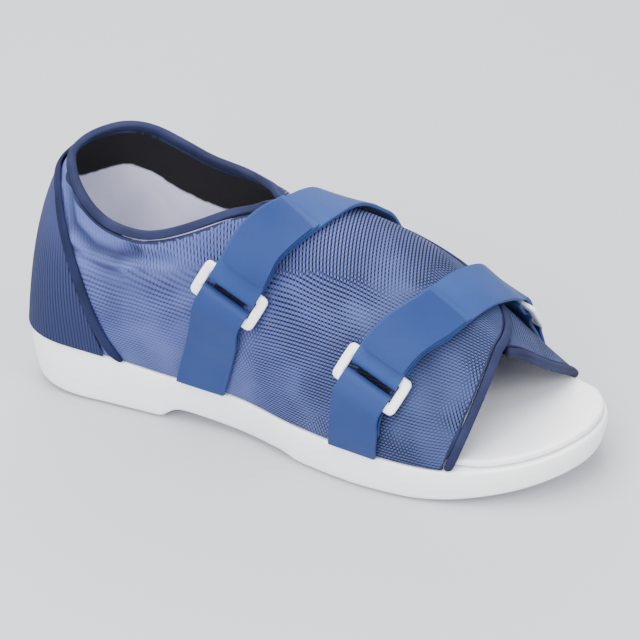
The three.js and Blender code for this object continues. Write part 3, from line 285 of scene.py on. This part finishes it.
def smooth_copy(node, name, bend, crease):
    bm = bmesh.new()
    bm.from_mesh(nodes[node].data)
    bmesh.ops.remove_doubles(bm, verts=bm.verts, dist=MERGE_WITHIN)
    bmesh.ops.join_triangles(
        bm, faces=bm.faces, angle_face_threshold=FLAT_ENOUGH, angle_shape_threshold=SQUARE_ENOUGH
    )
    layer = bm.edges.layers.float.new("crease_edge")
    for edge in bm.edges:
        if len(edge.link_faces) == 2 and edge.calc_face_angle() > math.radians(bend):
            edge[layer] = crease
            edge.smooth = crease < HARD_CREASE
    for face in bm.faces:
        face.smooth = True
    mesh = bpy.data.meshes.new(name)
    bm.to_mesh(mesh)
    bm.free()
    piece = bpy.data.objects.new(name, mesh)
    bpy.context.scene.collection.objects.link(piece)
    rounded = piece.modifiers.new("rounded", "SUBSURF")
    rounded.levels = ROUND_LEVELS
    rounded.render_levels = ROUND_LEVELS
    return piece


# %% [markdown]
# A finished copy stands in for its solid, which stays behind for the physics. It gets one
# finish and rides on the shoe's only body.

# %% Dress a piece


def dress(piece, node, finish):
    piece.data.materials.clear()
    piece.data.materials.append(finish)
    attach(piece, "root")
    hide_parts(node)


def dress_copy(node, name, bend, crease, finish):
    dress(smooth_copy(node, name, bend, crease), node, finish)


# %% [markdown]
# ## The sole
#
# A sole like this is one block of light foam rubber, moulded white with a matte skin. Its
# edges are softly rounded, so the copy is subdivided and only its sharp rims are held by a
# crease. The bed inside is softer and a shade greyer. The skin gets a very fine grain, and
# broad faint patches keep the white from looking like paper.

# %% Outsole and footbed
FOAM_ROUGHNESS = 0.55
FOAM_GRAIN_HEIGHT = 0.0002


def foam_finish(name, colour, shade, grain):
    foam = Finish(name, colour, FOAM_ROUGHNESS)
    patches = foam.noise(18, 4)
    tone = foam.mix(foam.ramp(patches, 0.35, 0.75), colour, shade)
    speckle = foam.noise(grain, 2, rough=0.6)
    roughness = foam.ramp(speckle, 0.3, 0.7, 0.5, 0.66)
    normal = foam.bump(speckle, FOAM_GRAIN_HEIGHT, 0.35)
    return foam.wear(Base_Color=tone, Roughness=roughness, Normal=normal)


sole_foam = foam_finish("sole_foam", srgb(254, 254, 254), srgb(249, 250, 252), 1500)
bed_foam = foam_finish("bed_foam", srgb(250, 250, 253), srgb(242, 243, 249), 1100)
dress_copy("outsole", "white_outsole", 50, 0.7, sole_foam)
dress_copy("footbed", "pale_footbed", 70, 0.4, bed_foam)

# %% [markdown]
# ## The upper
#
# The upper is one shell of spacer mesh: a blue-violet knit outside, a pale brushed lining
# inside, and a dark band of padding under the collar. Its rounding is settled into plain
# vertices first, because a live modifier would leave too few vertices to press creases into.

# %% Round the upper


def settle_mesh(piece):
    graph = bpy.context.evaluated_depsgraph_get()
    finished = bpy.data.meshes.new_from_object(piece.evaluated_get(graph))
    piece.modifiers.clear()
    piece.data = finished
    return piece


upper = settle_mesh(smooth_copy("upper", "mesh_upper", 60, 0.5))
print("upper vertices:", len(upper.data.vertices))

# %% [markdown]
# Padded cloth rolls under the collar at the ankle, hollows over the heel and pulls where the
# straps hold it. A cloth simulation could find such folds, but not in chosen places. So each
# fold is a line of points along the outer side, in millimetres, with the width of its soft
# trough and its depth.

# %% Where the creases run
CREASES = [
    {
        "name": "collar_roll",
        "points": [(-22, -24, 106), (-18.5, -31, 93), (-6.5, -35, 86), (6, -36.5, 84.5), (16, -36.8, 88)],
        "width": 3.6,
        "depth": 3.0,
    },
    {
        "name": "roll_low",
        "points": [(-16, -32.5, 83), (-5, -35.8, 78.5), (7, -37, 77)],
        "width": 3.2,
        "depth": 1.5,
    },
    {
        "name": "roll_side",
        "points": [(13, -36.8, 92), (22, -37, 88), (33, -37, 88)],
        "width": 3.0,
        "depth": 1.3,
    },
    {
        "name": "ankle_fold",
        "points": [(12, -36, 70), (26, -38, 72), (42, -39, 78)],
        "width": 7,
        "depth": 1.4,
    },
    {
        "name": "heel_hollow",
        "points": [(1, -37, 50), (3, -37, 62), (0, -36.5, 74)],
        "width": 7,
        "depth": 1.4,
    },
    {
        "name": "toe_pull",
        "points": [(150, -30, 70), (166, -44, 50), (176, -52, 32)],
        "width": 8,
        "depth": 1.1,
    },
    {
        "name": "instep_pull",
        "points": [(104, -30, 86), (122, -40, 66), (138, -50, 44)],
        "width": 8,
        "depth": 1.0,
    },
]
print("creases:", [crease["name"] for crease in CREASES])

# %% [markdown]
# A trough falls off like a bell, and a low ridge rises on each side of it, as cloth does when
# it has nowhere else to go. Both skins of the wall move the same way, so it keeps its
# thickness. The depth is also written down as painted shade, which darkens the knit in the trough.

# %% Press the creases in
MM = 1000
CREASE_REACH = 3
RIDGE_HEIGHT = 0.35
RIDGE_PLACE = 1.6
RIDGE_NARROWNESS = 3
DARKEST_DEPTH = 3


def distance_to_line(place, points):
    nearest = 1.0
    for first, second in zip(points, points[1:]):
        span = second - first
        share = min(max((place - first).dot(span) / span.length_squared, 0), 1)
        nearest = min(nearest, (place - first - span * share).length)
    return nearest


def trough(share):
    ridge = RIDGE_HEIGHT * math.exp(-((share - RIDGE_PLACE) ** 2) * RIDGE_NARROWNESS)
    return math.exp(-share * share) - ridge


def press_creases(piece, creases):
    mesh = piece.data
    normals = [v.normal.copy() for v in mesh.vertices]
    shade = mesh.attributes.new("crease_shade", "FLOAT", "POINT")
    moved = 0
    for crease in creases:
        line = [Vector(p) / MM for p in crease["points"]]
        width = crease["width"] / MM
        for vertex, normal in zip(mesh.vertices, normals):
            away = distance_to_line(vertex.co, line)
            if away < CREASE_REACH * width:
                inside = -1 if normal.y * vertex.co.y < 0 else 1
                fall = trough(away / width)
                vertex.co -= normal * inside * fall * crease["depth"] / MM
                shade.data[vertex.index].value += max(fall, 0) * crease["depth"] / DARKEST_DEPTH
                moved += 1
    print("vertices pressed:", moved)


press_creases(upper, CREASES)

# %% [markdown]
# Between anchor and strap, inside each ring, the knit shows as a narrow slot in deep shade.
# Soft lamps reach into it more than they should, so the knit there takes the darkest crease
# shade of all.

# %% Darken the slots behind the rings
SLOT_REACH = 0.0105
SLOT_SHADE = 1.6


def shade_slots(piece, rings):
    shade = piece.data.attributes["crease_shade"].data
    for ring in rings:
        low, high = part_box(ring)
        middle = (low + high) / 2
        for vertex in piece.data.vertices:
            if (vertex.co - middle).length < SLOT_REACH:
                shade[vertex.index].value = SLOT_SHADE
    print("slots shaded behind", rings)


shade_slots(upper, ["rear_near_ring", "front_near_ring", "rear_far_ring", "front_far_ring"])

# %% [markdown]
# The knit is drawn with two sets of fine ribs. The long ribs run from heel to toe, spaced by
# the angle round the foot. The upright ribs climb the side and cross the instep, spaced along
# the shoe. Flat coordinates would smear one set at the side or on top, and the angle doesn't.
# A little noise bends both, because no knit runs quite true.

# %% Wrap the knit round the foot
AXIS_HEIGHT = 0.022
WRAP_RADIUS = 0.058
KNIT_WANDER = 0.0008
LONG_RIB_PITCH = 0.00155
LONG_RIB_LEAN = 0.10
UPRIGHT_RIB_PITCH = 0.00160
UPRIGHT_RIB_LEAN = 0.38


def wrap_place(finish):
    x, y, z = finish.split(finish.place)
    bend = finish.math("MULTIPLY_ADD", finish.noise(14, 1), 2 * KNIT_WANDER, -KNIT_WANDER)
    around = finish.math("ARCTAN2", y, finish.math("SUBTRACT", z, AXIS_HEIGHT))
    return finish.math("ADD", x, bend), finish.math("MULTIPLY_ADD", around, WRAP_RADIUS, bend), z


def gap_between(knit, ribs, crossing, covered):
    open_gap = knit.ramp(ribs, 0.10, 0.62, 1.0, 0.0)
    return knit.math("MULTIPLY", open_gap, knit.ramp(crossing, 0.1, 0.6, covered, 1.0))


def rib_gaps(knit, along, around, upright):
    long_ribs = knit.ribs(knit.math("MULTIPLY_ADD", along, LONG_RIB_LEAN, around), LONG_RIB_PITCH)
    upright_ribs = knit.ribs(
        knit.math("MULTIPLY_ADD", around, UPRIGHT_RIB_LEAN, along), UPRIGHT_RIB_PITCH
    )
    long_gap = gap_between(knit, long_ribs, upright_ribs, 0.45)
    upright_gap = gap_between(knit, upright_ribs, long_ribs, 0.55)
    long_share = knit.math("MULTIPLY_ADD", upright, -0.75, 1.0)
    upright_share = knit.math("MULTIPLY_ADD", upright, 0.65, 0.35)
    return knit.math(
        "MAXIMUM",
        knit.math("MULTIPLY", long_gap, long_share),
        knit.math("MULTIPLY", upright_gap, upright_share),
    )


# %% [markdown]
# The knit isn't equally open. It is loose at the forefoot, close towards the heel and under
# the collar, and it has looser patches in between. The product of those shares is how deep a
# gap looks, and it drives colour, roughness and bump together, so all three agree.

# %% The knit's gaps and threads
KNIT_DEPTH = 1.6
KNIT_HEIGHT = 0.0005
THREAD_FUZZ = 0.0001
# painted shade for the knit in the pressed creases and in the slots behind the rings
PAINTED_CREASE_SHADE = srgb(22, 26, 50)
GAP_TONE = srgb(9, 13, 32)


def gap_depth(knit, along, gap):
    open_share = knit.ramp(along, 0.005, 0.12, 0.42, 1.0)
    collar_share = knit.ramp(knit.attribute("collar_distance"), 0.003, 0.022, 0.35, 1.0)
    collar_share = knit.math("MAXIMUM", collar_share, knit.ramp(along, 0.0, 0.02))
    loose = knit.ramp(knit.noise(34, 2), 0.32, 0.62, 0.45, 1.0)
    open_gap = knit.math("MULTIPLY", open_share, collar_share)
    depth = knit.math("MULTIPLY", open_gap, knit.math("MULTIPLY", gap, loose))
    return knit.math("MULTIPLY", depth, KNIT_DEPTH, clamp=True)


def thread_tone(knit, along, patch):
    blend = knit.ramp(patch, 0.3, 0.7)
    heel_thread = knit.mix(blend, srgb(78, 89, 146), srgb(90, 101, 159))
    toe_thread = knit.mix(blend, srgb(58, 71, 115), srgb(70, 83, 129))
    thread = knit.mix(knit.ramp(along, 0.08, 0.16), heel_thread, toe_thread)
    # painted shade: the knit darkens in the pressed troughs, and most of all in the slots behind the
    # rings
    crease = knit.ramp(knit.attribute("crease_shade"), 0.0, SLOT_SHADE, 0.0, 0.95)
    return knit.mix(crease, thread, PAINTED_CREASE_SHADE)


def knit_finish():
    knit = Finish("knit_mesh", srgb(74, 85, 138), 0.72, Specular_IOR_Level=0.2)
    along, around, z = wrap_place(knit)
    # upright ribs rule at the ridge and in a few patches, long ribs everywhere else
    patch = knit.noise(26, 2)
    ridge = knit.ramp(z, 0.080, 0.096, 0.0, 0.45)
    upright = knit.ramp(knit.math("ADD", patch, ridge), 0.50, 0.72)
    depth = gap_depth(knit, along, rib_gaps(knit, along, around, upright))
    tone = knit.mix(depth, thread_tone(knit, along, patch), GAP_TONE)
    normal = knit.bump(knit.math("SUBTRACT", 1.0, depth), KNIT_HEIGHT, 0.7)
    normal = knit.bump(knit.noise(2600, 1), THREAD_FUZZ, 0.3, normal)
    return knit.wear(Base_Color=tone, Roughness=knit.ramp(depth, 0.0, 0.8, 0.62, 0.9), Normal=normal)


knit_mesh = knit_finish()
print("nodes in the knit:", len(knit_mesh.node_tree.nodes))

# %% [markdown]
# Inside, the lining is a pale brushed cloth. A band of dark padding runs under the collar, and
# its edge wanders a little. The band could be a piece of its own, but it lies flush in the
# wall, so the distance from the collar tape draws it: each vertex gets that distance below.

# %% Lining and padding finish
BAND_TONE = srgb(25, 24, 27)
# painted shade for the lining inside the toe
TOE_ROOM_PAINTED_SHADE = srgb(38, 42, 60)


def lining_finish():
    lining = Finish("pale_lining", srgb(186, 186, 206), 0.9, Specular_IOR_Level=0.2)
    x = lining.split(lining.place)[0]
    wander = lining.math("MULTIPLY_ADD", lining.noise(40, 3), 0.012, -0.006)
    edge = lining.math("ADD", lining.attribute("collar_distance"), wander)
    # the band is 24 mm deep round the heel and narrows to 8 mm at the throat
    depth = lining.ramp(x, 0.038, 0.078, 0.0235, 0.008)
    below_band = lining.ramp(lining.math("SUBTRACT", edge, depth), -0.001, 0.001)
    soft = lining.noise(45, 3)
    pale = lining.mix(lining.ramp(soft, 0.3, 0.7), srgb(190, 190, 212), srgb(204, 204, 224))
    # painted shade: towards the toe the lining darkens, as the inside of the far wall lies in shadow
    # there
    pale = lining.mix(lining.ramp(x, 0.090, 0.120), pale, TOE_ROOM_PAINTED_SHADE)
    tone = lining.mix(below_band, BAND_TONE, pale)
    normal = lining.bump(soft, 0.002, 0.5)
    normal = lining.bump(lining.noise(1800, 2), 0.00015, 0.4, normal)
    return lining.wear(Base_Color=tone, Normal=normal)


pale_lining = lining_finish()
print("nodes in the lining:", len(pale_lining.node_tree.nodes))

# %% [markdown]
# The upper wears two finishes, knit outside and lining inside. A face belongs to the inside
# when it looks towards the core of the foot, a low upright plane along the shoe's middle. That
# is steadier than picking faces by hand, because it still holds when the shell changes.

# %% Knit outside, lining inside
CORE_BACK = -0.026
CORE_FRONT = 0.19
CORE_SIDE = 0.002
CORE_TOP = 0.055
LOOKS_INWARDS = -0.5
LINING_FINISH = 1


def measure_from_collar(piece):
    points = [v.co.copy() for v in nodes["collar_tape"].data.vertices]
    tree = KDTree(len(points))
    for index, place in enumerate(points):
        tree.insert(place, index)
    tree.balance()
    layer = piece.data.attributes.new("collar_distance", "FLOAT", "POINT")
    for vertex in piece.data.vertices:
        layer.data[vertex.index].value = tree.find(vertex.co)[2]


def line_the_inside(piece):
    inside = 0
    for face in piece.data.polygons:
        middle = face.center
        core_x = min(max(middle.x, CORE_BACK), CORE_FRONT)
        core = Vector((core_x, CORE_SIDE, min(middle.z, CORE_TOP)))
        if face.normal.dot((middle - core).normalized()) < LOOKS_INWARDS:
            face.material_index = LINING_FINISH
            inside += 1
    print("lining faces:", inside, "of", len(piece.data.polygons))


dress(upper, "upper", knit_mesh)
upper.data.materials.append(pale_lining)
measure_from_collar(upper)
line_the_inside(upper)

# %% [markdown]
# ## Bindings and the heel's counter
#
# A binding is a woven tape folded over a raw edge and sewn through. Its face has fine slanting
# ribs, and the edges are rounded by the fold. The tape along the counter is a shade darker.

# %% Tape finish
TAPE_RIB_PITCH = 0.0011
TAPE_RIB_HEIGHT = 0.0002


def tape_finish(name, colour, dark):
    tape = Finish(name, colour, 0.7, Specular_IOR_Level=0.15)
    x, y, z = tape.split(tape.place)
    slant = tape.math("ADD", tape.math("ADD", x, y), tape.math("MULTIPLY", z, 0.7))
    ribs = tape.ribs(slant, TAPE_RIB_PITCH)
    patches = tape.ramp(tape.noise(60, 2), 0.3, 0.7)
    tone = tape.mix(tape.math("MULTIPLY", ribs, 0.5), tape.mix(patches, colour, dark), dark)
    return tape.wear(Base_Color=tone, Normal=tape.bump(ribs, TAPE_RIB_HEIGHT, 0.6))


tape_cloth = tape_finish("binding_tape", srgb(42, 48, 80), srgb(29, 34, 61))
band_cloth = tape_finish("band_tape", srgb(32, 39, 75), srgb(19, 25, 54))
print("tape ribs every", TAPE_RIB_PITCH * MM, "mm")

# %% [markdown]
# The counter is a second layer of ribbed cloth that stiffens the heel. It is darker than the
# knit, and its ribs stand upright round the heel. The angle round an upright axis in the heel
# spaces them evenly. The gaps between them fade towards the collar, and painted shade darkens
# the cloth low down, towards the sole.

# %% Counter finish
COUNTER_AXIS = 0.008
COUNTER_RADIUS = 0.036
COUNTER_RIB_PITCH = 0.0016
COUNTER_WEAVE_PITCH = 0.0009
COUNTER_WANDER = 0.0016
COUNTER_HEIGHT = 0.0004


def counter_finish():
    cloth = Finish("ribbed_counter", srgb(50, 58, 98), 0.75, Specular_IOR_Level=0.15)
    x, y, z = cloth.split(cloth.place)
    back = cloth.math("SUBTRACT", 0.0, cloth.math("ADD", x, COUNTER_AXIS))
    turn = cloth.math("ARCTAN2", y, back)
    bend = cloth.math("MULTIPLY", cloth.noise(12, 1), COUNTER_WANDER)
    ribs = cloth.ribs(cloth.math("MULTIPLY_ADD", turn, COUNTER_RADIUS, bend), COUNTER_RIB_PITCH)
    weave = cloth.ribs(z, COUNTER_WEAVE_PITCH)
    height = cloth.math("MULTIPLY_ADD", weave, 0.25, cloth.math("MULTIPLY", ribs, 0.75))
    open_share = cloth.ramp(z, 0.070, 0.092, 0.85, 0.2)
    gap = cloth.math("MULTIPLY", cloth.ramp(ribs, 0.35, 0.95), open_share)
    tone = cloth.mix(gap, srgb(58, 66, 108), srgb(12, 17, 42))
    # painted shade: the counter cloth darkens low down, towards the sole
    light = cloth.ramp(z, 0.028, 0.105, 0.45, 1.0)
    tone = cloth.mix(light, srgb(30, 37, 70), tone)
    return cloth.wear(Base_Color=tone, Normal=cloth.bump(height, COUNTER_HEIGHT, 0.7))


counter_cloth = counter_finish()
print("counter ribs every", COUNTER_RIB_PITCH * MM, "mm")

# %% [markdown]
# The tapes and the counter are dressed as they are. The rim of the upper, which the folded
# tapes wrap, is then given the tape's colour too, as if it were dyed.

# %% Bind the edges
TAPED_NODES = ["collar_tape", "flap_tape", "far_toe_tape"]
RIM_REACH = 0.0014
TAPE_FINISH = 2


def tape_the_rim(piece, tapes):
    trees = []
    for tape in tapes:
        mesh = nodes[tape].data
        places = [v.co for v in mesh.vertices]
        trees.append(BVHTree.FromPolygons(places, [p.vertices for p in mesh.polygons]))
    taped = 0
    for face in piece.data.polygons:
        if min(tree.find_nearest(face.center)[3] for tree in trees) < RIM_REACH:
            face.material_index = TAPE_FINISH
            taped += 1
    print("rim faces:", taped)


for node in TAPED_NODES:
    dress_copy(node, node + "_cloth", 70, 0.3, tape_cloth)
upper.data.materials.append(tape_cloth)
tape_the_rim(upper, TAPED_NODES)
dress_copy("counter_band", "counter_band_cloth", 70, 0.3, band_cloth)
dress_copy("heel_counter", "heel_counter_cloth", 60, 0.6, counter_cloth)

# %% [markdown]
# ## Straps, pads and rings
#
# The straps are brushed webbing in plain blue, with next to no shine. The anchors that hold the
# rings are a shade darker, and the pads that close the straps darker and deeper still. A fine
# noise stands for the nap: real loops are far too small to model.

# %% Strap finishes
NAP_HEIGHT = 0.00018
NAP_SHARE = 0.2
NAP_LIGHTER = 1.3


def strap_finish(name, colour, light):
    strap = Finish(name, colour, 0.6, Sheen_Weight=0.04, Specular_IOR_Level=0.25)
    nap = strap.noise(1400, 3, rough=0.65)
    broad = strap.ramp(strap.noise(30, 2), 0.3, 0.7)
    tone = strap.mix(broad, colour, light)
    tip = tuple(min(c * NAP_LIGHTER, 1) for c in light)
    tone = strap.mix(strap.ramp(nap, 0.35, 0.75, 0.0, NAP_SHARE), tone, tip)
    return strap.wear(Base_Color=tone, Normal=strap.bump(nap, NAP_HEIGHT, 0.5))


strap_cloth = strap_finish("strap_webbing", srgb(29, 56, 112), srgb(35, 63, 119))
anchor_cloth = strap_finish("anchor_webbing", srgb(27, 50, 103), srgb(31, 55, 108))
pad_cloth = strap_finish("pad_webbing", srgb(13, 42, 96), srgb(17, 46, 101))
print("webbing finishes made")

# %% [markdown]
# The rings are moulded in glossy white plastic. A clear coat gives the small sharp highlights,
# and a trace of bump keeps them from looking machined.

# %% Ring finish
RING_GRAIN_HEIGHT = 0.00005


def ring_finish():
    ring = Finish("ring_plastic", srgb(250, 251, 253), 0.26, Coat_Weight=0.6, Coat_Roughness=0.1)
    return ring.wear(Normal=ring.bump(ring.noise(300, 2), RING_GRAIN_HEIGHT, 0.2))


ring_plastic = ring_finish()
print("ring finish made")

# %% [markdown]
# There are two closures, and each has an anchor and a ring on both sides, a strap over the
# foot and a pad at the strap's end. Webbing is cut flat, so its edges get strong creases. The
# rings are moulded round and get almost none.

# %% Dress the closures
for end in ("rear", "front"):
    for side in ("near", "far"):
        anchor = f"{end}_{side}_anchor"
        dress_copy(anchor, anchor + "_cloth", 50, 0.92, anchor_cloth)
        ring = f"{end}_{side}_ring"
        dress_copy(ring, ring + "_moulded", 80, 0.2, ring_plastic)
    strap = f"{end}_strap"
    dress_copy(strap, strap + "_cloth", 50, 0.92, strap_cloth)
    pad = f"{end}_pad"
    dress_copy(pad, pad + "_cloth", 40, 0.94, pad_cloth)
print("closures dressed")

# %% [markdown]
# ## The dressed shoe
